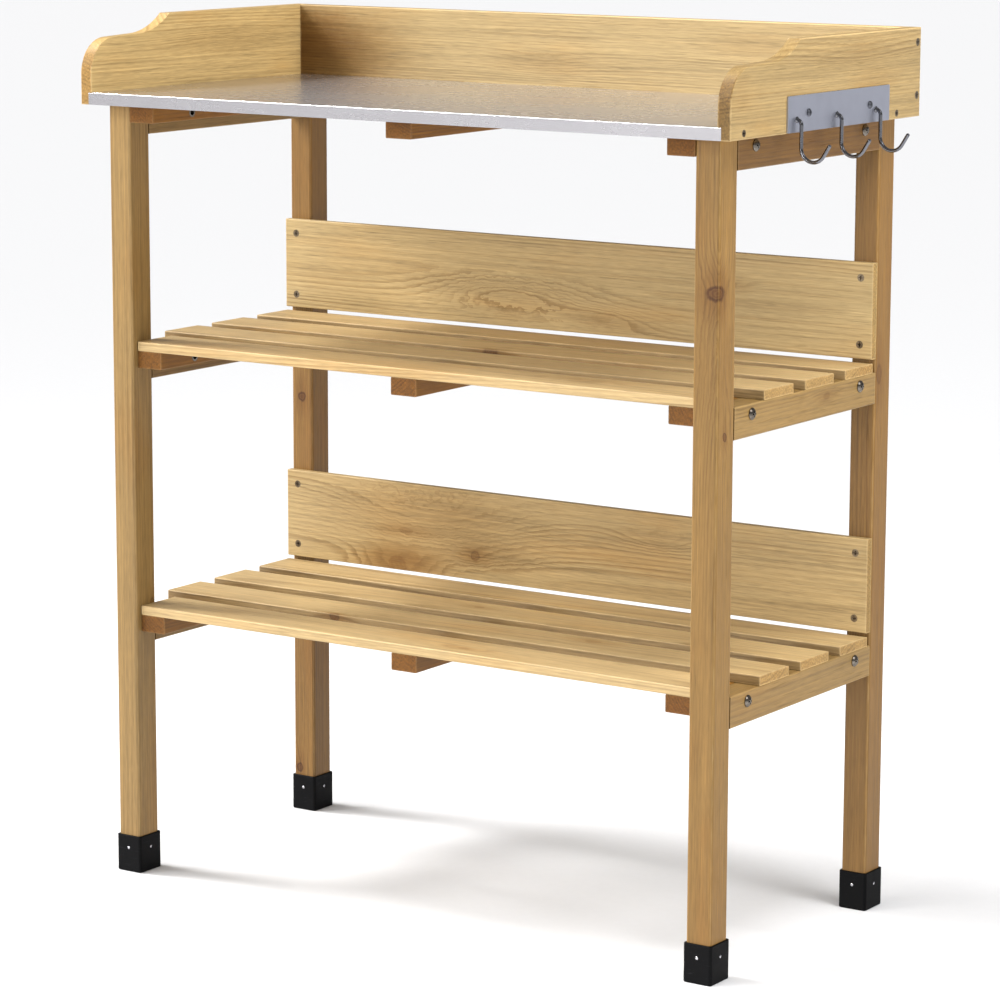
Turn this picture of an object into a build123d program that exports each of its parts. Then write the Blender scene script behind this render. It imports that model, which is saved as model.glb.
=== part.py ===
from build123d import *

import os
from math import cos, radians, sin

os.makedirs("parts", exist_ok=True)

# Potting bench: two doweled side frames, two slatted shelves with backboards, and a metal-covered
# worktop with an upstand on three sides and a hook rack on the right-hand side panel.
# Millimetres, +Z up, -Y is the front. The origin is on the floor under the middle of the whole box.

# ---- driving dimensions -------------------------------------------------------------------------
bench_width = 780.0  # over the two side panels
bench_depth = 375.0
bench_height = 911.0

leg_size_x, leg_size_y = 28.0, 32.0
leg_corner = 3.0
leg_inset_x = 21.0  # legs stand inside the side panels' outer faces
front_overhang = 19.0  # worktop in front of the legs
rear_overhang = 11.0

rail_thickness, rail_height = 28.0, 32.0
rail_corner = 1.5
dowel_radius, dowel_half = 4.0, 15.0
dowel_spread = 8.0  # each dowel's distance from the rail's mid height
dowel_chamfer = 1.0

worktop_underside = 822.0
board_thickness = 12.0
sheet_thickness = 0.5
panel_thickness = 14.0
panel_rebate = 4.0
panel_corner = 1.2
board_corner = 0.5
sheet_bend = 0.9

batten_width, batten_height = 31.0, 18.0
batten_corner = 1.2
shelf_batten_inset = 8.0  # behind the legs' front faces
shelf_batten_length = 298.0
top_batten_length = 337.0

slat_count = 4
slat_width, slat_thickness, slat_gap = 57.0, 10.0, 24.0
slat_inset = 7.0
slat_end_gap = 1.0  # between the front slat and the legs
slat_corner = 1.2
lower_shelf_top, middle_shelf_top = 292.0, 574.5

backboard_height, backboard_thickness = 98.0, 9.0
backboard_lift = 4.0  # slot between slats and backboard
backboard_corner = 1.2

cap_wall, cap_floor, cap_height = 2.0, 3.0, 40.0
cap_corner, cap_foot_round, cap_mouth_round = 3.0, 1.5, 0.8

# side panel outline, measured from its front and from the worktop's underside
nose_rise = 31.0
nose_radius = 37.0
shoulder_run = 75.0
shoulder_height = 69.5
cove_radius = 88.0

# hook rack
plate_length, plate_height, plate_thickness = 203.0, 35.0, 1.5
plate_corner = 1.5
plate_front = 104.5  # behind the side panel's front
plate_base = 0.5  # above the side panel's lower edge
wire_radius = 1.9
weld_radius, weld_height = 3.3, 1.5
hook_bend = 3.2  # gap between the plate and the wire in front of it
hook_bowl = 13.2
hook_drop = 26.5
hook_rise_angle = 58.0
hook_tip = 13.5
hook_pitch = 79.0
hook_offset = -5.0  # the middle hook, from the plate's middle
hook_root_height = 12.0  # above the plate's lower edge
plate_screw_pitch = 122.0

# fasteners
clearance = 0.05
screw_shank, screw_head = 2.0, 4.0
small_shank, small_head = 1.75, 3.5
plate_screw_head, plate_screw_head_height = 3.8, 2.4
slat_screw_length, worktop_screw_length, backboard_screw_length = 25.0, 26.0, 30.0
corner_screw_length, edge_screw_length, rear_screw_length, plate_screw_length = 40.0, 34.0, 36.0, 13.0
slat_pilot, worktop_pilot, leg_pilot, corner_pilot = 8.0, 9.0, 22.0, 28.0  # depths of pilot holes
side_edge_pilot, rear_edge_pilot = 26.0, 24.0
slat_screw_setback = 12.0  # in front of the slat's middle
top_screw_pitch, rear_screw_pitch = 140.0, 250.0
edge_screw_front, edge_screw_rear = 6.0, 307.0  # behind the legs' front faces
corner_screw_low, corner_screw_high = 21.5, 14.5  # from the side panel's lower and upper edges
backboard_screw_low, backboard_screw_high = 14.5, 15.5  # from the backboard's lower and upper edges
bolt_shank, bolt_head, bolt_head_height = 3.0, 6.0, 3.6
bolt_length = 55.0
bolt_depth = 10.0  # below the rail's top
insert_radius, insert_length, insert_flange, insert_lip = 4.5, 13.0, 0.3, 0.4
bolt_reach = 108.0  # either side of the frame's middle
pin_radius, pin_head_radius, pin_head_height, pin_length = 0.7, 1.6, 0.6, 9.0
pin_height = 26.5
sink_angle = 90.0
recess_width, recess_share = 0.9, 0.62

# ---- places worked out from them ----------------------------------------------------------------
rise = radians(hook_rise_angle)
wire_x = plate_thickness + hook_bend + wire_radius
bowl_x = wire_x + hook_bowl
tip_x = bowl_x + hook_bowl * sin(rise) + hook_tip * cos(rise)
tip_round = 0.9 * wire_radius
hook_reach = tip_x + tip_round * (1 - cos(rise)) + (wire_radius - tip_round) * sin(rise)

mid_x = -hook_reach / 2  # the bench's own middle: the hooks widen the box on one side only
panel_x = bench_width / 2
leg_x = panel_x - leg_inset_x
leg_inner_x = leg_x - leg_size_x
inner_x = panel_x - panel_thickness
worktop_x = inner_x + panel_rebate

front_y = -bench_depth / 2
rear_y = bench_depth / 2
leg_front_y = front_y + front_overhang
leg_rear_y = rear_y - rear_overhang
frame_mid_y = (leg_front_y + leg_rear_y) / 2
rail_front_y = leg_front_y + leg_size_y
rail_rear_y = leg_rear_y - leg_size_y
backboard_front_y = rail_rear_y - backboard_thickness
back_panel_front_y = rear_y - panel_thickness

worktop_surface = worktop_underside + board_thickness + sheet_thickness
batten_mid_x = leg_inner_x - batten_width / 2
rail_tops = {
    "lower": lower_shelf_top - slat_thickness,
    "middle": middle_shelf_top - slat_thickness,
    "top": worktop_underside,
}
shelf_tops = {"lower": lower_shelf_top, "middle": middle_shelf_top}
slat_fronts = [leg_front_y + slat_inset + i * (slat_width + slat_gap) for i in range(slat_count)]
bolt_ys = [frame_mid_y - bolt_reach, frame_mid_y + bolt_reach]
slat_screw_ys = [front + slat_width / 2 - slat_screw_setback for front in slat_fronts]
top_screw_ys = [frame_mid_y - top_screw_pitch, frame_mid_y, frame_mid_y + top_screw_pitch]
edge_screw_ys = [leg_front_y + edge_screw_front, leg_front_y + edge_screw_rear]
edge_screw_z = worktop_underside + board_thickness / 2
corner_screw_zs = [worktop_underside + corner_screw_low, bench_height - corner_screw_high]
back_screw_xs = [mid_x - rear_screw_pitch, mid_x, mid_x + rear_screw_pitch]

RIGHT, LEFT, BACK, FRONT, DOWN = (1, 0, 0), (-1, 0, 0), (0, 1, 0), (0, -1, 0), (0, 0, -1)


def face_plane(origin, outward):
    """A plane on a surface, its z axis pointing out of the material, so a hole goes the other way."""
    return Plane(origin=origin, z_dir=outward)


def save(piece, name):
    """Labels a finished piece and writes its STEP file."""
    piece.part.label = name
    export_step(piece.part, f"parts/{name}.step")


def timber(x_range, y_range, z_range, long_axis, corner, bores=(), sinks=()):
    """A straight length of timber with eased long edges.

    bores are (origin, outward, radius, depth); sinks are (origin, outward, shank, head, depth).
    """
    size = (x_range[1] - x_range[0], y_range[1] - y_range[0], z_range[1] - z_range[0])
    middle = (sum(x_range) / 2, sum(y_range) / 2, sum(z_range) / 2)
    with BuildPart(Plane(origin=middle)) as piece:
        Box(*size)
        fillet(piece.edges().filter_by(long_axis), corner)
    with BuildPart() as bored:
        add(piece.part)
        for origin, outward, radius, depth in bores:
            with Locations(face_plane(origin, outward)):
                Hole(radius, depth)
        for origin, outward, shank, head, depth in sinks:
            with Locations(face_plane(origin, outward)):
                CounterSinkHole(shank + clearance, head, depth, sink_angle)
    return bored


# ---- fasteners, each made once at the origin with its head up -----------------------------------
def countersunk_screw(shank, head, length):
    """A countersunk wood screw with a cross recess, its head's top at Z = 0."""
    cone = head - shank
    with BuildPart() as screw:
        with BuildSketch(Plane.XZ):
            with BuildLine():
                Polyline(
                    (0, 0),
                    (head, 0),
                    (shank, -cone),
                    (shank, -length + 2 * shank),
                    (0, -length),
                    close=True,
                )
            make_face()
        revolve(axis=Axis.Z)
        with BuildSketch(Plane.XY):
            Rectangle(2 * head * recess_share, recess_width)
            Rectangle(recess_width, 2 * head * recess_share)
        extrude(amount=-cone * 0.9, taper=12, mode=Mode.SUBTRACT)
    return screw


def pan_head(shank, head, head_height, length):
    """A pan-head screw or bolt with a cross recess, its head standing on Z = 0."""
    dome = (head**2 + head_height**2) / (2 * head_height)
    with BuildPart() as bolt:
        with BuildSketch(Plane.XZ):
            with BuildLine():
                RadiusArc((0, head_height), (head, head_height * 0.25), dome)
                Polyline(
                    (head, head_height * 0.25),
                    (head, 0),
                    (shank, 0),
                    (shank, -length + shank / 2),
                    (shank / 2, -length),
                    (0, -length),
                    (0, head_height),
                )
            make_face()
        revolve(axis=Axis.Z)
        with BuildSketch(Plane.XY.offset(head_height)):
            Rectangle(head * 1.1, recess_width * head / 4)
            Rectangle(recess_width * head / 4, head * 1.1)
        extrude(amount=-head_height * 0.7, taper=10, mode=Mode.SUBTRACT)
    return bolt


def grouped(single, planes):
    """Copies of one fastener, each with its z axis along the plane's."""
    with BuildPart() as group:
        with Locations(*planes):
            add(single.part)
    return group


# ---- legs ---------------------------------------------------------------------------------------
def frame_joints(side):
    """X and z of every dowel in one side frame."""
    dowel_x = mid_x + side * (leg_x - rail_thickness / 2)
    for top in rail_tops.values():
        for spread in (-dowel_spread, dowel_spread):
            z = top - rail_height / 2 + spread
            yield dowel_x, z


def backboard_screw_heights():
    for top in shelf_tops.values():
        base = top + backboard_lift
        yield base + backboard_screw_low
        yield base + backboard_height - backboard_screw_high


def leg(side, at_front):
    x_range = sorted([mid_x + side * leg_x, mid_x + side * leg_inner_x])
    y_range = (leg_front_y, rail_front_y) if at_front else (rail_rear_y, leg_rear_y)
    joint_y, outward = (rail_front_y, BACK) if at_front else (rail_rear_y, FRONT)
    bores = [((x, joint_y, z), outward, dowel_radius, dowel_half) for x, z in frame_joints(side)]
    if not at_front:
        x = mid_x + side * (leg_x - leg_size_x / 2)
        pilot = screw_shank + clearance
        bores += [((x, rail_rear_y, z), FRONT, pilot, leg_pilot) for z in backboard_screw_heights()]
    bores += cap_pin_pilots(x_range, y_range)
    return timber(x_range, y_range, (cap_floor, worktop_underside), Axis.Z, leg_corner, bores)


def cap_pin_places(x_range, y_range, inset):
    """Where the four pins of one foot cap cross the leg's faces, moved out by inset."""
    x, y = sum(x_range) / 2, sum(y_range) / 2
    yield (x_range[0] - inset, y, pin_height), LEFT
    yield (x_range[1] + inset, y, pin_height), RIGHT
    yield (x, y_range[0] - inset, pin_height), FRONT
    yield (x, y_range[1] + inset, pin_height), BACK


def cap_pin_pilots(x_range, y_range):
    reach = pin_length - cap_wall
    for origin, outward in cap_pin_places(x_range, y_range, 0):
        yield origin, outward, pin_radius + clearance, reach + clearance


def foot_cap(x_range, y_range):
    """A moulded cap that the leg stands in, with a hole for a pin in each wall."""
    middle = (sum(x_range) / 2, sum(y_range) / 2, 0)
    outer = (leg_size_x + 2 * cap_wall, leg_size_y + 2 * cap_wall)
    with BuildPart() as cap:
        with BuildSketch(Plane(origin=middle)):
            RectangleRounded(*outer, cap_corner)
        extrude(amount=cap_height)
        fillet(cap.faces().sort_by(Axis.Z)[0].edges(), cap_foot_round)
        with BuildSketch(Plane(origin=middle).offset(cap_floor)):
            RectangleRounded(leg_size_x, leg_size_y, leg_corner)
        extrude(amount=cap_height, mode=Mode.SUBTRACT)
        fillet(cap.faces().sort_by(Axis.Z)[-1].outer_wire().edges(), cap_mouth_round)
        for origin, outward in cap_pin_places(x_range, y_range, cap_wall):
            with Locations(face_plane(origin, outward)):
                Hole(pin_radius + clearance, cap_wall)
    return cap


pin_planes = []
for side_name, side in (("left", -1), ("right", 1)):
    for place, at_front in (("front", True), ("back", False)):
        save(leg(side, at_front), f"{place}_{side_name}_leg")
        leg_xs = sorted([mid_x + side * leg_x, mid_x + side * leg_inner_x])
        leg_ys = (leg_front_y, rail_front_y) if at_front else (rail_rear_y, leg_rear_y)
        save(foot_cap(leg_xs, leg_ys), f"{place}_{side_name}_foot_cap")
        pin_planes += [face_plane(*spot) for spot in cap_pin_places(leg_xs, leg_ys, cap_wall)]

cap_pin = pan_head(pin_radius, pin_head_radius, pin_head_height, pin_length)
save(grouped(cap_pin, pin_planes), "foot_cap_pins")

# ---- side rails and the dowels that join them to the legs ---------------------------------------
dowel_planes = []
for side_name, side in (("left", -1), ("right", 1)):
    outer_x, inner_face_x = mid_x + side * leg_x, mid_x + side * leg_inner_x
    outward = RIGHT if side > 0 else LEFT
    for level, top in rail_tops.items():
        ends = [(rail_front_y, FRONT), (rail_rear_y, BACK)]
        joints = [(x, z) for x, z in frame_joints(side) if top - rail_height < z < top]
        bores = [((x, y, z), way, dowel_radius, dowel_half) for x, z in joints for y, way in ends]
        bores += [
            ((outer_x, y, top - bolt_depth), outward, bolt_shank + clearance, rail_thickness)
            for y in bolt_ys
        ]
        rail = timber(
            sorted([outer_x, inner_face_x]),
            (rail_front_y, rail_rear_y),
            (top - rail_height, top),
            Axis.Y,
            rail_corner,
            bores,
        )
        save(rail, f"{side_name}_{level}_rail")
    for x, z in frame_joints(side):
        dowel_planes += [face_plane((x, y, z), BACK) for y in (rail_front_y, rail_rear_y)]

with BuildPart() as dowel:
    Cylinder(dowel_radius, 2 * dowel_half)
    chamfer(dowel.edges().filter_by(GeomType.CIRCLE), dowel_chamfer)
save(grouped(dowel, dowel_planes), "frame_dowels")

# ---- battens under the shelves and the worktop --------------------------------------------------
slat_screw_planes = []
top_screw_planes = []
for level, top in rail_tops.items():
    under_worktop = level == "top"
    batten_front = leg_front_y if under_worktop else leg_front_y + shelf_batten_inset
    batten_rear = batten_front + (top_batten_length if under_worktop else shelf_batten_length)
    screw_ys = top_screw_ys if under_worktop else slat_screw_ys
    base = top - batten_height
    for spot, side in (("left", -1), ("centre", 0), ("right", 1)):
        x = mid_x + side * batten_mid_x
        outward = RIGHT if side > 0 else LEFT
        inward = LEFT if side > 0 else RIGHT
        joined_x, free_x = x + side * batten_width / 2, x - side * batten_width / 2
        bolt_bores = []
        for y in bolt_ys if side else []:
            z = top - bolt_depth
            bolt_bores.append(((joined_x, y, z), outward, bolt_shank + clearance, batten_width))
            bolt_bores.append(((free_x, y, z), inward, insert_radius, insert_length))
        sinks = [((x, y, base), DOWN, screw_shank, screw_head, batten_height) for y in screw_ys]
        batten = timber(
            (x - batten_width / 2, x + batten_width / 2),
            (batten_front, batten_rear),
            (base, top),
            Axis.Y,
            batten_corner,
            bolt_bores,
            sinks,
        )
        save(batten, f"{level}_{spot}_batten")
        planes = [face_plane((x, y, base), DOWN) for y in screw_ys]
        if under_worktop:
            top_screw_planes += planes
        else:
            slat_screw_planes += planes

# ---- slats --------------------------------------------------------------------------------------
for level, top in shelf_tops.items():
    for number, (front, screw_y) in enumerate(zip(slat_fronts, slat_screw_ys), start=1):
        half = leg_inner_x - slat_end_gap if number == 1 else leg_x
        xs = [mid_x + side * batten_mid_x for side in (-1, 0, 1)]
        underside = top - slat_thickness
        pilots = [((x, screw_y, underside), DOWN, screw_shank + clearance, slat_pilot) for x in xs]
        slat = timber(
            (mid_x - half, mid_x + half),
            (front, front + slat_width),
            (underside, top),
            Axis.X,
            slat_corner,
            pilots,
        )
        save(slat, f"{level}_slat_{number}")

save(grouped(countersunk_screw(screw_shank, screw_head, slat_screw_length), slat_screw_planes), "slat_screws")

# ---- backboards ---------------------------------------------------------------------------------
backboard_screw_planes = []
for level, top in shelf_tops.items():
    base = top + backboard_lift
    screw_xs = [mid_x - leg_x + leg_size_x / 2, mid_x + leg_x - leg_size_x / 2]
    heights = [z for z in backboard_screw_heights() if base < z < base + backboard_height]
    spots = [(x, backboard_front_y, z) for x in screw_xs for z in heights]
    backboard = timber(
        (mid_x - leg_x, mid_x + leg_x),
        (backboard_front_y, rail_rear_y),
        (base, base + backboard_height),
        Axis.X,
        backboard_corner,
        sinks=[(spot, FRONT, screw_shank, screw_head, backboard_thickness) for spot in spots],
    )
    save(backboard, f"{level}_backboard")
    backboard_screw_planes += [face_plane(spot, FRONT) for spot in spots]

backboard_screw = countersunk_screw(screw_shank, screw_head, backboard_screw_length)
save(grouped(backboard_screw, backboard_screw_planes), "backboard_screws")

# ---- bolts through the rails, and the threaded inserts that they reach inside the battens -------
bolt_planes, insert_planes = [], []
for side, outward, inward in ((-1, LEFT, RIGHT), (1, RIGHT, LEFT)):
    batten_face_x = mid_x + side * (leg_inner_x - batten_width)
    for top in rail_tops.values():
        for y in bolt_ys:
            z = top - bolt_depth
            bolt_planes.append(face_plane((mid_x + side * leg_x, y, z), outward))
            insert_planes.append(face_plane((batten_face_x, y, z), inward))

save(grouped(pan_head(bolt_shank, bolt_head, bolt_head_height, bolt_length), bolt_planes), "rail_bolts")

with BuildPart() as insert:
    with BuildSketch(Plane.XY.offset(-insert_length)):
        Circle(insert_radius)
        Circle(bolt_shank + clearance, mode=Mode.SUBTRACT)
    extrude(amount=insert_length)
    with BuildSketch():
        Circle(insert_radius + insert_lip)
        Circle(bolt_shank + clearance, mode=Mode.SUBTRACT)
    extrude(amount=insert_flange)
save(grouped(insert, insert_planes), "threaded_inserts")

# ---- worktop: a board with a metal sheet folded down over its front edge -----------------------
edge_pilot = small_shank + clearance
board_front_y = front_y + sheet_thickness
board_bores = [
    ((mid_x + side * worktop_x, y, edge_screw_z), RIGHT if side > 0 else LEFT, edge_pilot, side_edge_pilot)
    for side in (-1, 1)
    for y in edge_screw_ys
]
board_bores += [
    ((x, back_panel_front_y, edge_screw_z), BACK, edge_pilot, rear_edge_pilot) for x in back_screw_xs
]
board_bores += [
    ((mid_x + side * batten_mid_x, y, worktop_underside), DOWN, screw_shank + clearance, worktop_pilot)
    for side in (-1, 0, 1)
    for y in top_screw_ys
]
worktop_board = timber(
    (mid_x - worktop_x, mid_x + worktop_x),
    (board_front_y, back_panel_front_y),
    (worktop_underside, worktop_underside + board_thickness),
    Axis.X,
    board_corner,
    board_bores,
)
save(worktop_board, "worktop_board")
worktop_screw = countersunk_screw(screw_shank, screw_head, worktop_screw_length)
save(grouped(worktop_screw, top_screw_planes), "worktop_screws")

with BuildPart() as worktop_sheet:
    with BuildSketch(Plane.YZ.offset(mid_x - worktop_x)):
        with BuildLine():
            Polyline(
                (back_panel_front_y, worktop_surface),
                (front_y, worktop_surface),
                (front_y, worktop_underside),
                (board_front_y, worktop_underside),
                (board_front_y, worktop_surface - sheet_thickness),
                (back_panel_front_y, worktop_surface - sheet_thickness),
                close=True,
            )
        make_face()
    extrude(amount=2 * worktop_x)
    fillet(worktop_sheet.edges().filter_by(Axis.X).group_by(Axis.Y)[0].sort_by(Axis.Z)[-1], sheet_bend)
save(worktop_sheet, "worktop_metal_sheet")

# ---- upstand: two shaped side panels and the back panel between them ----------------------------
plate_front_y = front_y + plate_front
plate_mid_y = plate_front_y + plate_length / 2
plate_base_z = worktop_underside + plate_base
plate_mid_z = plate_base_z + plate_height / 2
plate_screw_ys = [plate_mid_y - plate_screw_pitch / 2, plate_mid_y + plate_screw_pitch / 2]
hook_ys = [plate_mid_y + hook_offset + i * hook_pitch for i in (-1, 0, 1)]
hook_root_z = plate_base_z + hook_root_height
back_panel_mid_y = rear_y - panel_thickness / 2


def side_panel(side):
    """A panel with a rounded nose and a cove in front, rebated inside for the worktop's edge."""
    outward = RIGHT if side > 0 else LEFT
    outer_face_x = mid_x + side * panel_x
    nose_top = worktop_underside + nose_rise + nose_radius
    shoulder = (front_y + shoulder_run, worktop_underside + shoulder_height)
    cove_rise = bench_height - shoulder[1]
    cove_run = (cove_radius**2 - (cove_radius - cove_rise) ** 2) ** 0.5
    cove_top = (shoulder[0] + cove_run, bench_height)
    with BuildPart() as panel:
        with BuildSketch(Plane.YZ.offset(min(outer_face_x, mid_x + side * inner_x))):
            with BuildLine():
                Line((front_y, worktop_underside), (front_y, worktop_underside + nose_rise))
                TangentArc(
                    (front_y, worktop_underside + nose_rise),
                    (front_y + nose_radius, nose_top),
                    tangent=(0, 1),
                )
                Line((front_y + nose_radius, nose_top), shoulder)
                TangentArc(shoulder, cove_top, tangent=(1, 0))
                Polyline(
                    cove_top,
                    (rear_y, bench_height),
                    (rear_y, worktop_underside),
                    (front_y, worktop_underside),
                )
            make_face()
        extrude(amount=panel_thickness)
        outer_face = panel.faces().sort_by(Axis.X)[-1 if side > 0 else 0]
        fillet(outer_face.edges(), panel_corner)
        with BuildSketch(Plane.XY.offset(worktop_underside)):
            rebate_mid_x = mid_x + side * (inner_x + panel_rebate / 2)
            with Locations((rebate_mid_x, (front_y + back_panel_front_y) / 2)):
                Rectangle(panel_rebate, back_panel_front_y - front_y)
        extrude(amount=worktop_surface - worktop_underside, mode=Mode.SUBTRACT)
        for z in corner_screw_zs:
            with Locations(face_plane((outer_face_x, back_panel_mid_y, z), outward)):
                CounterSinkHole(screw_shank + clearance, screw_head, panel_thickness, sink_angle)
        for y in edge_screw_ys:
            with Locations(face_plane((outer_face_x, y, edge_screw_z), outward)):
                CounterSinkHole(edge_pilot, small_head, panel_thickness, sink_angle)
        if side > 0:
            for y in plate_screw_ys:
                with Locations(face_plane((outer_face_x, y, plate_mid_z), outward)):
                    Hole(edge_pilot, panel_thickness - 2.0)
    return panel


save(side_panel(-1), "left_side_panel")
save(side_panel(1), "right_side_panel")

corner_spots = [(side, z) for side in (-1, 1) for z in corner_screw_zs]
corner_bore = screw_shank + clearance
back_panel = timber(
    (mid_x - inner_x, mid_x + inner_x),
    (back_panel_front_y, rear_y),
    (worktop_underside, bench_height),
    Axis.X,
    panel_corner,
    bores=[
        (
            (mid_x + side * inner_x, back_panel_mid_y, z),
            RIGHT if side > 0 else LEFT,
            corner_bore,
            corner_pilot,
        )
        for side, z in corner_spots
    ],
    sinks=[
        ((x, rear_y, edge_screw_z), BACK, small_shank, small_head, panel_thickness) for x in back_screw_xs
    ],
)
save(back_panel, "back_panel")

corner_planes = [
    face_plane((mid_x + side * panel_x, back_panel_mid_y, z), RIGHT if side > 0 else LEFT)
    for side, z in corner_spots
]
edge_planes = [
    face_plane((mid_x + side * panel_x, y, edge_screw_z), RIGHT if side > 0 else LEFT)
    for side in (-1, 1)
    for y in edge_screw_ys
]
rear_planes = [face_plane((x, rear_y, edge_screw_z), BACK) for x in back_screw_xs]
corner_screw = countersunk_screw(screw_shank, screw_head, corner_screw_length)
save(grouped(corner_screw, corner_planes), "corner_screws")
edge_screw = countersunk_screw(small_shank, small_head, edge_screw_length)
save(grouped(edge_screw, edge_planes), "side_panel_screws")
rear_screw = countersunk_screw(small_shank, small_head, rear_screw_length)
save(grouped(rear_screw, rear_planes), "back_panel_screws")

# ---- hook rack on the right side panel ----------------------------------------------------------
rack_x = mid_x + panel_x

with BuildPart() as hook_plate:
    with BuildSketch(Plane(origin=(rack_x, plate_mid_y, plate_mid_z), x_dir=BACK, z_dir=RIGHT)):
        RectangleRounded(plate_length, plate_height, plate_corner)
        with GridLocations(plate_screw_pitch, 1, 2, 1):
            Circle(edge_pilot, mode=Mode.SUBTRACT)
        with Locations(*[(y - plate_mid_y, hook_root_z - plate_mid_z) for y in hook_ys]):
            Circle(wire_radius + clearance, mode=Mode.SUBTRACT)
    extrude(amount=plate_thickness)
save(hook_plate, "hook_plate")


def hook(y):
    """A round-wire hook welded to the plate: out, down, round the bowl, and up to a flared tip."""
    turn = hook_bend + wire_radius
    bowl_z = hook_root_z - hook_drop
    lip = (bowl_x + hook_bowl * sin(rise), bowl_z - hook_bowl * cos(rise))
    tip = (lip[0] + hook_tip * cos(rise), lip[1] + hook_tip * sin(rise))
    across = Plane(origin=(rack_x, y, 0), x_dir=RIGHT, z_dir=FRONT)
    with BuildPart() as wire:
        with BuildLine(across) as route:
            Line((0, hook_root_z), (plate_thickness, hook_root_z))
            CenterArc((plate_thickness, hook_root_z - turn), turn, 90, -90)
            Line((wire_x, hook_root_z - turn), (wire_x, bowl_z))
            CenterArc((bowl_x, bowl_z), hook_bowl, 180, 90 + hook_rise_angle)
            Line(lip, tip)
        with BuildSketch(Plane(origin=(rack_x, y, hook_root_z), z_dir=RIGHT)):
            Circle(wire_radius)
        sweep(path=route.wires()[0])
        with BuildSketch(Plane(origin=(rack_x + plate_thickness, y, hook_root_z), z_dir=RIGHT)):
            Circle(weld_radius)
        extrude(amount=weld_height, taper=35)
        end_face = wire.faces().filter_by(GeomType.PLANE).sort_by(Axis.X)[-1]
        fillet(end_face.edges(), tip_round)
    return wire


for spot, y in zip(("front", "middle", "rear"), hook_ys):
    save(hook(y), f"{spot}_hook")

plate_screw_planes = [face_plane((rack_x + plate_thickness, y, plate_mid_z), RIGHT) for y in plate_screw_ys]
plate_screw = pan_head(small_shank, plate_screw_head, plate_screw_head_height, plate_screw_length)
save(grouped(plate_screw, plate_screw_planes), "hook_plate_screws")
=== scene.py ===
import math
import random

import bpy
from mathutils import Matrix, Vector


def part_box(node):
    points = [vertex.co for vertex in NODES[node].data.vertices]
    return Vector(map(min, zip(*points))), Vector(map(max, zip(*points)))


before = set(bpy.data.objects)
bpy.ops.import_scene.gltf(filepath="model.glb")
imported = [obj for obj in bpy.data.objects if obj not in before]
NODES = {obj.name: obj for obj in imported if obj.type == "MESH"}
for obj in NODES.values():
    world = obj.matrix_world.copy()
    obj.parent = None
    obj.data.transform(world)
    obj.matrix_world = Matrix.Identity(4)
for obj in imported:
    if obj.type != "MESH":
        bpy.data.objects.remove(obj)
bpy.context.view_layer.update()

# Potting bench: finishes for the CAD nodes, a pale floor, soft studio light and the camera.
# Metres, +Z up, -Y is the front.

MM = 0.001
BENCH_MIN, BENCH_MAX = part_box("worktop_board")
BENCH_MID_X = (BENCH_MIN.x + BENCH_MAX.x) / 2


def tint(red, green, blue):
    """A colour given in 0 to 255 screen values, as a linear colour."""
    def linear(value):
        value /= 255
        return value / 12.92 if value <= 0.04045 else ((value + 0.055) / 1.055) ** 2.4
    return (linear(red), linear(green), linear(blue), 1.0)


# ---- node graphs --------------------------------------------------------------------------------
class Graph:
    """Short calls that add nodes. A socket given as an input is linked, any other value is set."""

    def __init__(self, tree):
        self.tree = tree
        tree.nodes.clear()

    def add(self, kind, inputs=None, **settings):
        node = self.tree.nodes.new(kind)
        for name, value in settings.items():
            setattr(node, name, value)
        for name, value in (inputs or {}).items():
            self.put(node.inputs[name], value)
        return node

    def put(self, socket, value):
        if isinstance(value, bpy.types.NodeSocket):
            self.tree.links.new(value, socket)
        else:
            socket.default_value = value

    def math(self, operation, *values):
        node = self.add("ShaderNodeMath", dict(enumerate(values)), operation=operation)
        return node.outputs[0]

    def total(self, *values):
        """The sum of several values."""
        result = values[0]
        for value in values[1:]:
            result = self.math("ADD", result, value)
        return result

    def vector(self, operation, *values):
        node = self.add("ShaderNodeVectorMath", dict(enumerate(values)), operation=operation)
        return node.outputs["Value" if operation in ("LENGTH", "DOT_PRODUCT") else "Vector"]

    def split(self, vector):
        return list(self.add("ShaderNodeSeparateXYZ", {0: vector}).outputs)

    def join(self, x, y, z):
        return self.add("ShaderNodeCombineXYZ", {0: x, 1: y, 2: z}).outputs[0]

    def mix(self, factor, a, b, blend="MIX"):
        node = self.add("ShaderNodeMix", data_type="RGBA", blend_type=blend)
        for index, value in ((0, factor), (6, a), (7, b)):
            self.put(node.inputs[index], value)
        return node.outputs[2]

    def smooth(self, value, low, high, at_low=0.0, at_high=1.0):
        """A smooth step from at_low to at_high as value goes from low to high."""
        node = self.add("ShaderNodeMapRange", interpolation_type="SMOOTHSTEP")
        for index, each in enumerate((value, low, high, at_low, at_high)):
            self.put(node.inputs[index], each)
        return node.outputs[0]

    def around(self, value, amount, base=0.0):
        """A 0 to 1 noise value as base plus or minus about half of amount."""
        return self.math("MULTIPLY_ADD", value, amount, base - amount / 2)

    def noise(self, vector, scale, detail=2.0, roughness=0.5, colour=False):
        """Noise with scale (x, y, z) features in each metre."""
        stretched = self.vector("MULTIPLY", vector, scale)
        inputs = {"Vector": stretched, "Scale": 1.0, "Detail": detail, "Roughness": roughness}
        return self.add("ShaderNodeTexNoise", inputs).outputs[1 if colour else 0]

    def place(self):
        """The point on the object, in the row frame."""
        return self.add("ShaderNodeTexCoord").outputs["Object"]


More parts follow.
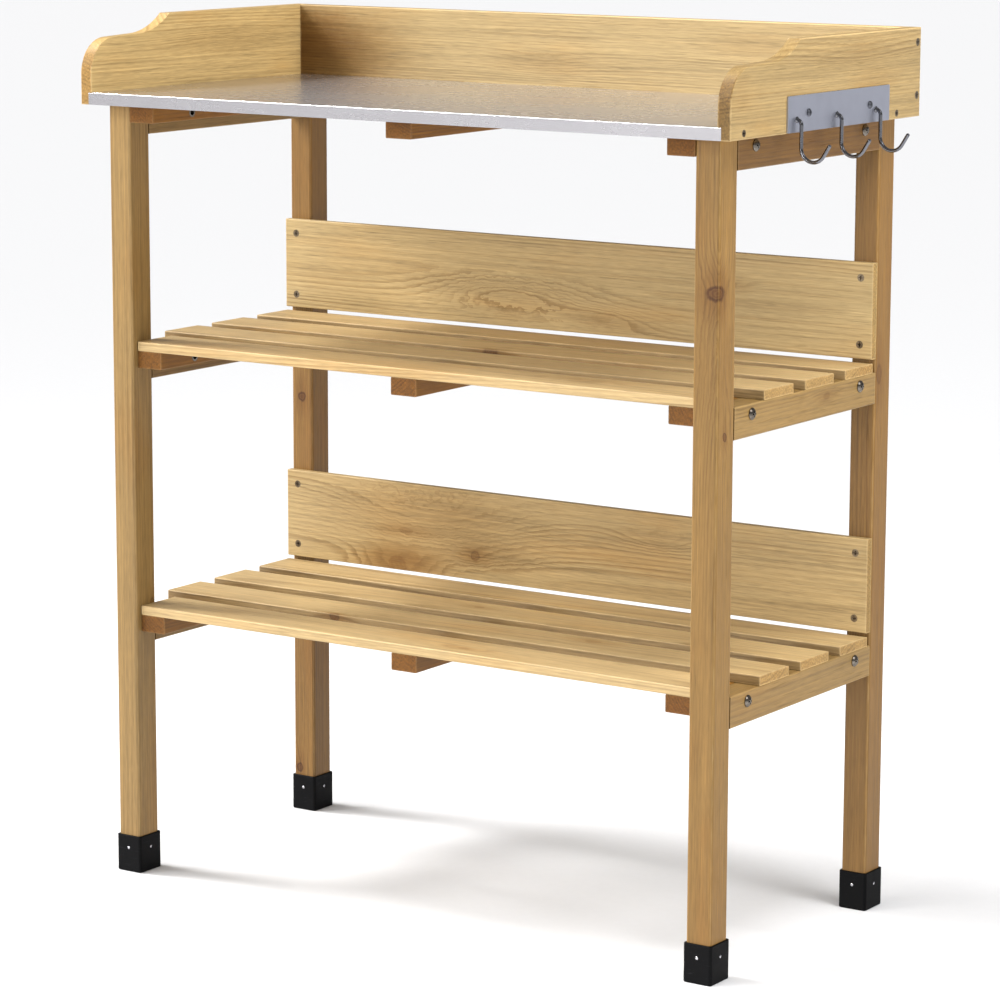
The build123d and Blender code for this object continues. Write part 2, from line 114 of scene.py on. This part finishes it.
def new_group(name, inputs, outputs):
    """An empty node group with those named sockets, as its graph, its inputs and its outputs."""
    tree = bpy.data.node_groups.new(name, "ShaderNodeTree")
    for direction, sockets in (("INPUT", inputs), ("OUTPUT", outputs)):
        for label, kind in sockets.items():
            tree.interface.new_socket(name=label, in_out=direction, socket_type="NodeSocket" + kind)
    graph = Graph(tree)
    return graph, graph.add("NodeGroupInput").outputs, graph.add("NodeGroupOutput").inputs


def new_material(name):
    material = bpy.data.materials.new(name)
    material.use_nodes = True
    return material, Graph(material.node_tree)


def finish(graph, colour, roughness, height, depth, **shader):
    """Ends a material in a Principled shader. depth is the relief's full height in metres."""
    bump = graph.add("ShaderNodeBump", {"Height": height, "Strength": 1.0, "Distance": depth})
    inputs = {"Base Color": colour, "Roughness": roughness, "Normal": bump.outputs[0]}
    inputs.update({label.replace("_", " "): value for label, value in shader.items()})
    principled = graph.add("ShaderNodeBsdfPrincipled", inputs)
    output = graph.add("ShaderNodeOutputMaterial")
    graph.tree.links.new(principled.outputs[0], output.inputs[0])


# ---- wood ---------------------------------------------------------------------------------------
# A board has its own coordinates: x over its width, y through its thickness, z along its grain.

def build_timber_group():
    """Softwood: growth rings round a leaning pith, with fibre, streaks and clouds of stain."""
    inputs = {"Board": "Vector", "Seed": "Vector", "Pith": "Vector", "Lean": "Vector",
              "Ring": "Float", "Shift": "Float", "Figure": "Float",
              "Early": "Color", "Late": "Color", "Warm": "Color"}
    outputs = {"Color": "Color", "Roughness": "Float", "Height": "Float"}
    g, given, result = new_group("timber", inputs, outputs)
    sample = g.vector("ADD", given["Board"], given["Seed"])

    # The rings wander by up to 7 mm either way along the board, and their borders by 0.5 mm.
    sway = g.noise(sample, (5, 5, 1.2), detail=1.0, colour=True)
    fuzz = g.noise(sample, (90, 90, 3), detail=3.0, colour=True)
    sway = g.vector("MULTIPLY_ADD", sway, (14 * MM, 14 * MM, 0), (-7 * MM, -7 * MM, 0))
    fuzz = g.vector("MULTIPLY_ADD", fuzz, (1 * MM, 1 * MM, 0), (-0.5 * MM, -0.5 * MM, 0))
    along = g.split(given["Board"])[2]
    pith = g.vector("MULTIPLY_ADD", given["Lean"], g.join(along, along, along), given["Pith"])
    radial = g.vector("ADD", g.vector("ADD", given["Board"], sway), fuzz)
    radial = g.vector("SUBTRACT", radial, pith)
    radius = g.vector("LENGTH", g.vector("MULTIPLY", radial, (1, 1, 0)))
    radius = g.math("ADD", radius, given["Shift"])

    seed_x = g.split(given["Seed"])[0]
    pace = g.add("ShaderNodeTexNoise", {"W": g.math("MULTIPLY_ADD", radius, 45.0, seed_x),
                                        "Scale": 1.0, "Detail": 1.0}, noise_dimensions="1D")
    turns = g.math("MULTIPLY_ADD", pace.outputs[0], 2.2, g.math("DIVIDE", radius, given["Ring"]))
    part = g.math("FRACT", turns)
    ring_mark = g.math("ADD", g.math("FLOOR", turns), seed_x)
    year = g.add("ShaderNodeTexWhiteNoise", {"W": ring_mark}, noise_dimensions="1D").outputs[0]
    late = g.math("MULTIPLY", g.smooth(part, 0.30, 0.86), g.smooth(part, 0.90, 1.0, 1.0, 0.0))
    late = g.math("MULTIPLY", late, g.math("MULTIPLY_ADD", year, 0.75, 0.25))
    presence = g.smooth(g.noise(sample, (22, 22, 3), detail=2.0), 0.38, 0.64, 0.45, 1.5)
    late = g.math("MULTIPLY", late, g.math("MULTIPLY", presence, given["Figure"]))

    fibre = g.noise(sample, (430, 430, 6), detail=3.0, roughness=0.6)
    hair = g.noise(sample, (1100, 1100, 60), detail=2.0)
    streak = g.noise(sample, (60, 60, 1.1), detail=3.0, roughness=0.6)
    cloud = g.noise(sample, (15, 15, 5), detail=3.0)
    fleck = g.smooth(g.noise(sample, (640, 640, 26), detail=1.0), 0.62, 0.74)
    ray = g.smooth(g.noise(sample, (560, 560, 16), detail=1.0), 0.60, 0.72)

    tone = g.total(g.around(fibre, 0.78, 1.0), g.around(hair, 0.60), g.around(streak, 0.46),
                   g.around(cloud, 0.16), g.math("MULTIPLY", fleck, -0.16),
                   g.math("MULTIPLY", ray, 0.12))
    colour = g.mix(late, given["Early"], given["Late"])
    warmth = g.math("MULTIPLY", g.smooth(cloud, 0.48, 0.72), g.smooth(streak, 0.3, 0.7, 0.4, 1.0))
    colour = g.mix(warmth, colour, given["Warm"], "MULTIPLY")
    g.put(result["Color"], g.vector("MULTIPLY", colour, tone))

    roughness = g.total(g.around(fibre, 0.22, 0.46), g.math("MULTIPLY", late, -0.06),
                        g.math("MULTIPLY", fleck, 0.12))
    g.put(result["Roughness"], roughness)
    height = g.total(g.math("MULTIPLY", fibre, 0.55), g.math("MULTIPLY", hair, 0.20),
                     g.math("MULTIPLY", late, 0.25), g.math("MULTIPLY", fleck, -0.25))
    g.put(result["Height"], height)
    return g.tree


def build_knot_group():
    """A knot: how far it pushes the rings aside, its dark core and rim, and the stain round it; the
    stain's mask also lays a painted shadow.
    """
    inputs = {"Board": "Vector", "Place": "Vector", "Size": "Vector", "Push": "Float"}
    outputs = {"Shift": "Float", "Core": "Float", "Rim": "Float", "Halo_and_shadow": "Float"}
    g, given, result = new_group("knot", inputs, outputs)
    offset = g.vector("DIVIDE", g.vector("SUBTRACT", given["Board"], given["Place"]), given["Size"])
    rough = g.noise(given["Board"], (160, 160, 90), detail=3.0, colour=True)
    jitter = g.vector("MULTIPLY_ADD", rough, (0.9, 0.9, 0.9), (-0.45, -0.45, -0.45))
    offset = g.vector("ADD", offset, jitter)
    distance = g.vector("LENGTH", offset)
    core = g.smooth(distance, 0.75, 1.10, 1.0, 0.0)
    rim = g.math("MULTIPLY", g.smooth(distance, 0.60, 0.95), g.smooth(distance, 1.0, 1.3, 1.0, 0.0))
    turns = g.math("SINE", g.math("MULTIPLY", distance, 16.0))
    core = g.math("MULTIPLY", core, g.around(turns, 0.18, 0.9))
    eye = g.vector("LENGTH", g.vector("MULTIPLY", offset, (0.50, 0.50, 0.24)))
    push = g.math("EXPONENT", g.math("MULTIPLY", g.math("MULTIPLY", eye, eye), -1.0))
    g.put(result["Shift"], g.math("MULTIPLY", push, given["Push"]))
    g.put(result["Core"], core)
    g.put(result["Rim"], rim)
    g.put(result["Halo_and_shadow"], g.smooth(eye, 0.3, 1.5, 1.0, 0.0))
    return g.tree


TIMBER = build_timber_group()
KNOT = build_knot_group()

EARLY_WOOD = {
    "leg_wood": tint(119, 90, 46),
    "rail_wood": tint(123, 98, 57),
    "batten_wood": tint(121, 82, 29),
    "slat_wood": tint(172, 147, 104),
    "backboard_wood": tint(151, 131, 90),
    "panel_wood": tint(148, 126, 83),
    "dowel_wood": tint(214, 186, 146),
}
# The tone of some boards beside the others of their kind. Part of it is painted light and shade:
# the right top rail is darkened for the side panel's shadow, and the left side panel and the front
# left leg are lightened where the light falls on them.
BOARD_TONE_AND_LIGHT = {
    "front_left_leg": (1.24, 1.38, 1.80), "front_right_leg": (1.06, 1.07, 1.10),
    "back_left_leg": (0.90, 0.84, 0.76), "back_right_leg": (0.90, 0.85, 0.82),
    "right_top_rail": (0.60, 0.48, 0.36), "middle_backboard": (1.14, 1.13, 1.15),
    "lower_backboard": (1.08, 1.04, 1.03), "back_panel": (1.12, 1.14, 1.26),
    "left_side_panel": (1.47, 1.44, 1.46), "right_side_panel": (0.85, 0.84, 0.86),
}
# Darker parts, as shares of the wood's own colour.
LATE_WOOD = (0.60, 0.53, 0.44)
WARM_STAIN = (0.93, 0.84, 0.72, 1.0)
# The halo colour also darkens the back panel's left corner as a painted shadow.
KNOT_STAINS_AND_SHADOW = {
    "Halo_and_shadow": (0.70, 0.58, 0.42, 1.0),
    "Core": (0.56, 0.42, 0.27, 1.0),
    "Rim": (0.36, 0.24, 0.13, 1.0),
}
END_GRAIN = (0.66, 0.58, 0.44, 1.0)
SLAT_GAP_SHADE = (0.50, 0.46, 0.40, 1.0)  # painted shade on the inner slats' long edges, where the slats shade each other
SHAPED_EDGE = (0.86, 0.82, 0.74, 1.0)  # the cut outlines of the panels
# The rounded edges are paler than the wood, in each kind by a different strength: partly wear,
# partly a painted highlight along the arrises.
WORN_EDGE_AND_HIGHLIGHT = tint(196, 170, 124)
EDGE_WEAR_AND_HIGHLIGHT = {
    "leg_wood": 0.22, "rail_wood": 0.14, "batten_wood": 0.08, "slat_wood": 0.28,
    "backboard_wood": 0.28, "panel_wood": 0.36, "dowel_wood": 0.0,
}


def knot(along, across, radius, stretch=1.2, through=1.0, depth=0,
         core=1.0, rim=None, halo=0.6, push=1.2):
    """A knot's place from the board's middle and its radius, in millimetres.

    through is its reach along the board's thickness, in metres: one much larger than the board's
    goes right through. core, rim and halo are strengths, and push is the rings' detour in radii. A
    halo alone, with no core, rim or push, is a patch of painted shadow.
    """
    return {"Place": (across * MM, depth * MM, along * MM),
            "Size": (radius * MM, through, radius * stretch * MM),
            "Push": push * radius * MM,
            "Halo_and_shadow": halo, "Core": core, "Rim": core * 0.8 if rim is None else rim}


KNOTS_AND_PAINTED_SHADOW = {
    "front_right_leg": [
        knot(264, -15, 8, 0.9, through=0.012, depth=13, halo=0.8),
        knot(126, -2, 3, 1.3, through=0.012, depth=14, halo=0.5),
        knot(200, -4, 7, 2.2, core=0.0, halo=0.25, push=1.6),
    ],
    "back_left_leg": [
        knot(64, -15, 4, 1.3, through=0.005, halo=0.6),
        knot(-364, -15, 4, 1.2, through=0.004, depth=-6, halo=0.6),
    ],
    "front_left_leg": [knot(-120, 10, 3, 1.6, through=0.006, depth=13, core=0.6, halo=0.3)],
    "back_right_leg": [knot(150, -8, 5, 1.8, through=0.006, depth=13, core=0.5, halo=0.5)],
    "middle_backboard": [
        knot(48, -30, 6, 2.6, core=0.2, rim=0, halo=0.25, push=2.0),
        knot(-70, -14, 9, 2.6, core=0, halo=0.15, push=2.4),
        knot(205, 16, 4, 1.5, core=0.6, rim=0.1, halo=0.4),
    ],
    "lower_backboard": [
        knot(-114, -22, 5, 1.1, core=0.6, rim=0.35, halo=0.7),
        knot(-96, -20, 8, 1.8, core=0, halo=0.45, push=0.5),
        knot(-177, 16, 17, 1.7, core=0, halo=0.5, push=1.7),
        knot(-206, -4, 4, 2.6, core=0.5, rim=0, halo=0.5, push=0.6),
        knot(-218, -44, 11, 1.3, core=0.55, rim=0, halo=0.9),
        knot(-200, -34, 9, 1.8, core=0.25, rim=0, halo=0.6, push=0.3),
        knot(120, 20, 6, 2.0, core=0.1, rim=0, halo=0.3, push=2.0),
    ],
    "middle_slat_3": [knot(-3, -28, 4, 2.2, through=0.006, depth=3, rim=0.5, halo=0.9)],
    "middle_slat_1": [knot(180, 10, 5, 2.0, core=0.3, rim=0, halo=0.4)],
    "lower_slat_1": [knot(60, -8, 4, 1.8, core=0.4, rim=0, halo=0.5)],
    "lower_slat_2": [
        knot(-146, -28, 4, 1.5, through=0.006, depth=3, rim=0.5, halo=1.0),
        knot(150, 12, 5, 1.8, core=0.5, rim=0.1, halo=0.5),
    ],
    "lower_slat_3": [knot(-40, 6, 4, 1.6, core=0.6, rim=0.1, halo=0.5)],
    "back_panel": [
        # No knots: three halos without core, rim or push, a painted shadow of the left side panel
        # in the back panel's left corner.
        knot(-385, -6, 26, 1.4, core=0, rim=0, halo=1.0, push=0),
        knot(-400, 10, 18, 1.2, core=0, rim=0, halo=0.9, push=0),
        knot(-388, -14, 22, 1.3, core=0, rim=0, halo=0.8, push=0),
        knot(-60, -8, 6, 2.6, core=0.1, rim=0, halo=0.3),
        knot(210, 20, 7, 2.2, core=0, halo=0.3),
    ],
    "left_side_panel": [knot(30, 12, 8, 3.0, core=0, halo=0.2, push=1.0)],
    "right_side_panel": [knot(60, 25, 8, 3.0, core=0, halo=0.2, push=1.0)],
    "right_middle_rail": [knot(40, 5, 4, 1.5, core=0.5, rim=0.1, halo=0.4)],
}


def board_axes(low, high):
    """The frame axes of a board's width, thickness and length."""
    size = high - low
    thickness, width, length = sorted(range(3), key=lambda axis: size[axis])
    return width, thickness, length


def growth(rng, slot):
    """Where the pith lies from the board's middle, how it leans, and the rings' width."""
    side = rng.choice((-1, 1))
    if slot in ("leg_wood", "rail_wood", "batten_wood"):
        turn = rng.uniform(0.5, 1.1) * side
        reach = rng.uniform(0.055, 0.110)
        pith = (reach * math.sin(turn), reach * math.cos(turn), 0)
        lean = (rng.uniform(-0.012, 0.012), rng.uniform(-0.012, 0.012), 0)
        return pith, lean, rng.uniform(0.0026, 0.0036)
    if slot == "panel_wood":
        pith = (side * rng.uniform(0.10, 0.16), rng.uniform(0.02, 0.06), 0)
        lean = (rng.uniform(-0.02, 0.02), 0, 0)
        return pith, lean, rng.uniform(0.0030, 0.0038)
    pith = (rng.uniform(-0.05, 0.05), side * rng.uniform(0.040, 0.075), 0)
    lean = (rng.uniform(-0.03, 0.03), rng.uniform(-0.03, 0.03), 0)
    return pith, lean, rng.uniform(0.0030, 0.0042)


def lay_knots_and_shadow(g, name, board, colour):
    """The colour stained by the board's knots and darkened by painted shadow laid as knot halos,
    and the rings' detour round the knots.
    """
    shift = 0.0
    for each in KNOTS_AND_PAINTED_SHADOW.get(name, []):
        inputs = {label: each[label] for label in ("Place", "Size", "Push")}
        mark = g.add("ShaderNodeGroup", {"Board": board, **inputs}, node_tree=KNOT).outputs
        shift = g.math("ADD", shift, mark["Shift"])
        for label, stain in KNOT_STAINS_AND_SHADOW.items():
            strength = g.math("MULTIPLY", mark[label], each[label])
            colour = g.mix(strength, colour, stain, "MULTIPLY")
    return colour, shift


def stain_and_shade_cut_faces(g, name, slot, board, axes, colour):
    """The colour darkened on cut faces, by stain on the end grain and the panels' outlines and by
    painted shade on the inner slats' long edges, and a mask of the end grain.
    """
    width, thickness, length = axes
    facing = g.split(g.vector("ABSOLUTE", g.add("ShaderNodeNewGeometry").outputs["Normal"]))
    end = g.smooth(facing[length], 0.55, 0.85)
    colour = g.mix(end, colour, END_GRAIN, "MULTIPLY")
    pores = g.around(g.noise(board, (480, 480, 480), detail=3.0, roughness=0.7), 1.5, 1.0)
    colour = g.mix(end, colour, g.join(pores, pores, pores), "MULTIPLY")
    # painted shade: every slat but the front one is darker on its long edges, where the slats shade
    # each other
    if slot == "slat_wood" and not name.endswith("_1"):
        colour = g.mix(g.smooth(facing[width], 0.55, 0.85), colour, SLAT_GAP_SHADE, "MULTIPLY")
    if slot == "panel_wood":
        outline = g.smooth(facing[thickness], 0.35, 0.75, 1.0, 0.0)
        colour = g.mix(outline, colour, SHAPED_EDGE, "MULTIPLY")
    return colour, end


def edge_mask(g, board, half):
    """1 on the board's long and short edges and 0 a little away from them, with a ragged border."""
    x, y, z = g.split(g.vector("SUBTRACT", half, g.vector("ABSOLUTE", board)))
    nearest = g.math("MINIMUM", g.math("MINIMUM", x, y), z)
    farthest = g.math("MAXIMUM", g.math("MAXIMUM", x, y), z)
    second = g.total(x, y, z, g.math("MULTIPLY", g.math("ADD", nearest, farthest), -1.0))
    ragged = g.around(g.noise(board, (220, 220, 40), detail=3.0), 2.2 * MM)
    return g.smooth(g.math("ADD", second, ragged), 0.2 * MM, 1.8 * MM, 1.0, 0.0)


def timber_material(name, slot, order):
    """One board's wood, with its own rings, tone and knots, and the painted light and shade laid on
    some boards.
    """
    rng = random.Random(7100 + order)
    low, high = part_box(name)
    axes = board_axes(low, high)
    half = (high - low) / 2
    material, g = new_material("wood_" + name)

    parts = g.split(g.vector("SUBTRACT", g.place(), tuple((low + high) / 2)))
    board = g.join(*(parts[axis] for axis in axes))
    pith, lean, ring = growth(rng, slot)
    shade = rng.uniform(0.95, 1.05)
    # the board's own tone, with painted light or shade on some boards
    own = BOARD_TONE_AND_LIGHT.get(name, (1, 1, 1))
    early = [channel * shade * each for channel, each in zip(EARLY_WOOD[slot], own)]
    late = [channel * share for channel, share in zip(early, LATE_WOOD)]
    inputs = {"Board": board, "Seed": tuple(rng.uniform(-40, 40) for _ in range(3)),
              "Pith": pith, "Lean": lean, "Ring": ring, "Figure": rng.uniform(0.45, 0.70),
              "Early": (*early, 1.0), "Late": (*late, 1.0), "Warm": WARM_STAIN}
    timber = g.add("ShaderNodeGroup", inputs, node_tree=TIMBER)

    colour, shift = lay_knots_and_shadow(g, name, board, timber.outputs["Color"])
    g.put(timber.inputs["Shift"], shift)
    colour, end = stain_and_shade_cut_faces(g, name, slot, board, axes, colour)
    edge = edge_mask(g, board, tuple(half[axis] for axis in axes))
    # paler rounded edges: wear and a painted highlight
    colour = g.mix(g.math("MULTIPLY", edge, EDGE_WEAR_AND_HIGHLIGHT[slot]), colour, WORN_EDGE_AND_HIGHLIGHT)
    roughness = g.total(timber.outputs["Roughness"], g.math("MULTIPLY", end, 0.22),
                        g.math("MULTIPLY", edge, 0.08))
    finish(g, colour, roughness, timber.outputs["Height"], 0.3 * MM,
           Specular_IOR_Level=0.28, Coat_Weight=0.05, Coat_Roughness=0.32)
    return material


def fibreboard_material():
    """The worktop's core: pale pressed fibre with small chips."""
    material, g = new_material("worktop_core")
    place = g.place()
    chips = g.add("ShaderNodeTexVoronoi", {"Vector": place, "Scale": 260.0}, feature="F1")
    fibre = g.noise(place, (700, 260, 700), detail=4.0, roughness=0.7)
    cloud = g.noise(place, (12, 12, 12), detail=2.0)
    chip_tone = g.split(chips.outputs["Color"])[0]
    colour = g.mix(chip_tone, tint(176, 146, 104), tint(205, 176, 132))
    tone = g.total(g.around(fibre, 0.4, 1.0), g.around(cloud, 0.2))
    finish(g, g.vector("MULTIPLY", colour, tone), g.around(fibre, 0.2, 0.72), fibre, 0.3 * MM,
           Specular_IOR_Level=0.3)
    return material


# ---- metal and plastic --------------------------------------------------------------------------
def metal_material(name, base, shade, grain, roughness, spread, relief, tarnish=0.10):
    """Bare or plated metal. grain is the marks in each metre, along X, Y and Z."""
    material, g = new_material(name)
    place = g.place()
    marks = g.noise(place, grain, detail=3.0, roughness=0.6)
    cloud = g.noise(place, tuple(max(6.0, each * 0.06) for each in grain), detail=3.0)
    stain = g.smooth(cloud, 0.42, 0.72)
    colour = g.mix(g.math("MULTIPLY", stain, tarnish * 4), base, shade)
    tone = g.total(g.around(marks, tarnish, 1.0), g.around(cloud, tarnish))
    rough = g.total(g.around(marks, spread, roughness), g.around(cloud, spread * 0.7))
    finish(g, g.vector("MULTIPLY", colour, tone), rough, marks, relief, Metallic=1.0)
    return material


def sheet_metal():
    """Galvanised sheet: faint spangle, rolling lines along X, and the front-facing folded edge
    painted darker as shade against its bright reflection.
    """
    material, g = new_material("galvanised_sheet")
    place = g.place()
    lines = g.noise(place, (5, 200, 200), detail=2.0)
    cloud = g.noise(place, (7, 7, 7), detail=3.0)
    cells = g.add("ShaderNodeTexVoronoi", {"Vector": place, "Scale": 130.0}, feature="F1")
    spangle = g.split(cells.outputs["Color"])[0]
    tone = g.total(g.around(lines, 0.02, 1.0), g.around(spangle, 0.010), g.around(cloud, 0.05))
    colour = g.mix(cloud, tint(214, 211, 210), tint(206, 205, 208))
    # painted shade: faces turned to the front are darkened to tone down their reflection
    facing = g.split(g.vector("ABSOLUTE", g.add("ShaderNodeNewGeometry").outputs["Normal"]))
    colour = g.mix(g.smooth(facing[1], 0.5, 0.9), colour, tint(178, 176, 179))
    rough = g.total(g.around(lines, 0.02, 0.27), g.around(spangle, 0.006), g.around(cloud, 0.05))
    finish(g, g.vector("MULTIPLY", colour, tone), rough, cloud, 0.04 * MM, Metallic=0.92)
    return material


def cap_plastic():
    """Near-black moulded plastic with a fine grain and a dusty bloom."""
    material, g = new_material("moulded_plastic")
    place = g.place()
    grain = g.noise(place, (1300, 1300, 1300), detail=2.0)
    bloom = g.smooth(g.noise(place, (45, 45, 30), detail=4.0, roughness=0.6), 0.45, 0.75)
    scuffs = g.smooth(g.noise(place, (90, 90, 900), detail=2.0), 0.66, 0.74)
    colour = g.mix(g.math("MULTIPLY", bloom, 0.35), tint(3, 3, 4), tint(12, 12, 14))
    colour = g.mix(g.math("MULTIPLY", scuffs, 0.25), colour, tint(52, 52, 56))
    rough = g.total(g.around(grain, 0.14, 0.56), g.math("MULTIPLY", bloom, 0.10))
    finish(g, colour, rough, grain, 0.12 * MM, Specular_IOR_Level=0.10)
    return material


def paint_nodes():
    """Gives every CAD node its finish."""
    fine = (900, 900, 900)
    shared = {
        "worktop_core": fibreboard_material(),
        "worktop_metal": sheet_metal(),
        "cap_plastic": cap_plastic(),
        "pin_steel": metal_material(
            "bright_pins", tint(198, 198, 203), tint(165, 163, 165), fine,
            roughness=0.25, spread=0.12, relief=0.02 * MM),
        "rack_plate": metal_material(
            "zinc_plate", tint(188, 191, 204), tint(172, 175, 188), (520, 520, 520),
            roughness=0.46, spread=0.14, relief=0.06 * MM),
        "hook_wire": metal_material(
            "drawn_wire", tint(120, 121, 126), tint(92, 92, 96), (500, 500, 240),
            roughness=0.20, spread=0.10, relief=0.03 * MM),
        "bolt_steel": metal_material(
            "zinc_bolts", tint(128, 121, 112), tint(66, 54, 43), fine,
            roughness=0.22, spread=0.12, relief=0.03 * MM, tarnish=0.16),
        "screw_steel": metal_material(
            "zinc_screws", tint(126, 112, 92), tint(70, 54, 38), fine,
            roughness=0.30, spread=0.16, relief=0.04 * MM, tarnish=0.22),
    }
    plate_screws = metal_material(
        "bright_screws", tint(118, 120, 127), tint(76, 78, 85), fine,
        roughness=0.50, spread=0.12, relief=0.03 * MM)
    for order, name in enumerate(sorted(NODES)):
        node = NODES[name]
        slot = node.data.materials[0].name
        if name == "hook_plate_screws":
            node.data.materials[0] = plate_screws
        elif slot in shared:
            node.data.materials[0] = shared[slot]
        else:
            node.data.materials[0] = timber_material(name, slot, order)


# ---- floor, light and camera --------------------------------------------------------------------
def build_floor():
    size = 60.0
    corners = [(-size, -size, 0), (size, -size, 0), (size, size, 0), (-size, size, 0)]
    mesh = bpy.data.meshes.new("floor")
    mesh.from_pydata(corners, [], [(0, 1, 2, 3)])
    floor = bpy.data.objects.new("floor", mesh)
    bpy.context.scene.collection.objects.link(floor)
    material, g = new_material("floor_paper")
    grain = g.noise(g.place(), (90, 90, 90), detail=3.0)
    colour = g.mix(grain, tint(207, 207, 208), tint(211, 211, 212))
    finish(g, colour, g.around(grain, 0.06, 0.85), grain, 0.05 * MM, Specular_IOR_Level=0.2)
    mesh.materials.append(material)


def add_light(name, azimuth, elevation, strength, softness):
    """A distant soft light. azimuth 0 shines from the front and 90 from the right, in degrees."""
    turn, rise = math.radians(azimuth), math.radians(elevation)
    level = math.cos(rise)
    towards = Vector((math.sin(turn) * level, -math.cos(turn) * level, math.sin(rise)))
    data = bpy.data.lights.new(name, "SUN")
    data.energy = strength
    data.angle = math.radians(softness)
    light = bpy.data.objects.new(name, data)
    light.location = 3 * towards
    light.rotation_euler = towards.to_track_quat("Z", "Y").to_euler()
    bpy.context.scene.collection.objects.link(light)


def add_softbox(name, place, aim, size, power):
    """A square lamp at place that faces aim. It lights the bench but is never seen or mirrored."""
    data = bpy.data.lights.new(name, "AREA")
    data.shape = "SQUARE"
    data.size = size
    data.energy = power
    light = bpy.data.objects.new(name, data)
    light.location = place
    light.rotation_euler = (Vector(place) - Vector(aim)).to_track_quat("Z", "Y").to_euler()
    light.visible_camera = False
    light.visible_glossy = False
    bpy.context.scene.collection.objects.link(light)


def build_light():
    add_light("low_front", azimuth=-14, elevation=8, strength=1.45, softness=24)
    add_light("front", azimuth=-42, elevation=30, strength=1.5, softness=14)
    add_light("high_left", azimuth=-78, elevation=46, strength=3.4, softness=14)
    add_light("high_right", azimuth=88, elevation=42, strength=0.65, softness=30)
    add_softbox("left_box", (-2.0, -0.6, 1.2), (0, 0.1, 0.45), size=1.0, power=41)
    add_softbox("right_box", (1.35, -0.1, 0.6), (0.38, 0.1, 0.55), size=0.6, power=13)
    add_softbox("top_box", (0.6, 0, 1.6), (-0.38, 0.05, 0.87), size=0.6, power=17)
    add_softbox("front_box", (-0.4, -1.6, 1.3), (0, 0, 0.7), size=1.0, power=10)
    world = bpy.data.worlds.new("studio")
    world.use_nodes = True
    background = world.node_tree.nodes["Background"]
    background.inputs["Color"].default_value = (1.0, 1.0, 1.0, 1.0)
    background.inputs["Strength"].default_value = 0.28
    bpy.context.scene.world = world


def build_camera():
    """A long lens from the front right, a little above the worktop."""
    turn, dip, roll = 0.59021, 0.1788, 0.00316  # radians
    right_of_middle, before_legs, height = 2.1795, 3.0716, 1.1227
    leg_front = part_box("front_left_leg")[0].y
    place = Vector((BENCH_MID_X + right_of_middle, leg_front - before_legs, height))
    level = math.cos(dip)
    ahead = Vector((-math.sin(turn) * level, math.cos(turn) * level, -math.sin(dip)))
    right = Vector((math.cos(turn), math.sin(turn), 0.0))
    up = right.cross(ahead)
    side = math.cos(roll) * right + math.sin(roll) * up
    top = math.cos(roll) * up - math.sin(roll) * right
    data = bpy.data.cameras.new("camera")
    data.sensor_width = 36.0
    data.lens = 137.25
    data.clip_end = 200.0
    camera = bpy.data.objects.new("camera", data)
    facing = Matrix((side, top, -ahead)).transposed().to_4x4()
    camera.matrix_world = Matrix.Translation(place) @ facing
    bpy.context.scene.collection.objects.link(camera)
    bpy.context.scene.camera = camera


paint_nodes()
build_floor()
build_light()
build_camera()
bpy.context.scene.view_settings.view_transform = "Standard"
